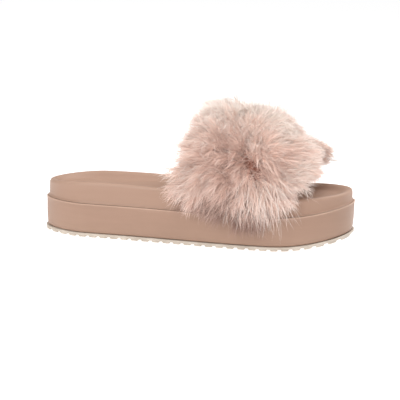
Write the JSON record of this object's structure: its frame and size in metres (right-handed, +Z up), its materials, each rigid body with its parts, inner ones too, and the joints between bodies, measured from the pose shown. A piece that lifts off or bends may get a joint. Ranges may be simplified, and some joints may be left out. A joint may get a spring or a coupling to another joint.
{
  "type": "flatform slide sandal",
  "caption": "Open slide slipper on a thick two-tier flatform sole, with one arched band over the forefoot under a deep feather pile.",
  "frame": {"origin": "mid-length of the sole on its centre line, on the underside of the tread rib that stands on the floor", "axes": "+X along the shoe to the toe, +Y to the medial side, +Z up from the floor"},
  "size_m": [0.2668, 0.1266, 0.1154],
  "materials": {
    "outsole_rubber": "matte cream rubber",
    "platform_foam": "satin moulded foam",
    "footbed_foam": "satin moulded foam",
    "strap_leather": "smooth lining leather",
    "feather_pile": "downy feather"
  },
  "bodies": {
    "root": {"outsole": "outsole_rubber", "platform": "platform_foam", "footbed": "footbed_foam", "strap": "strap_leather", "feather_cover": "feather_pile"}
  },
  "joints": []
}
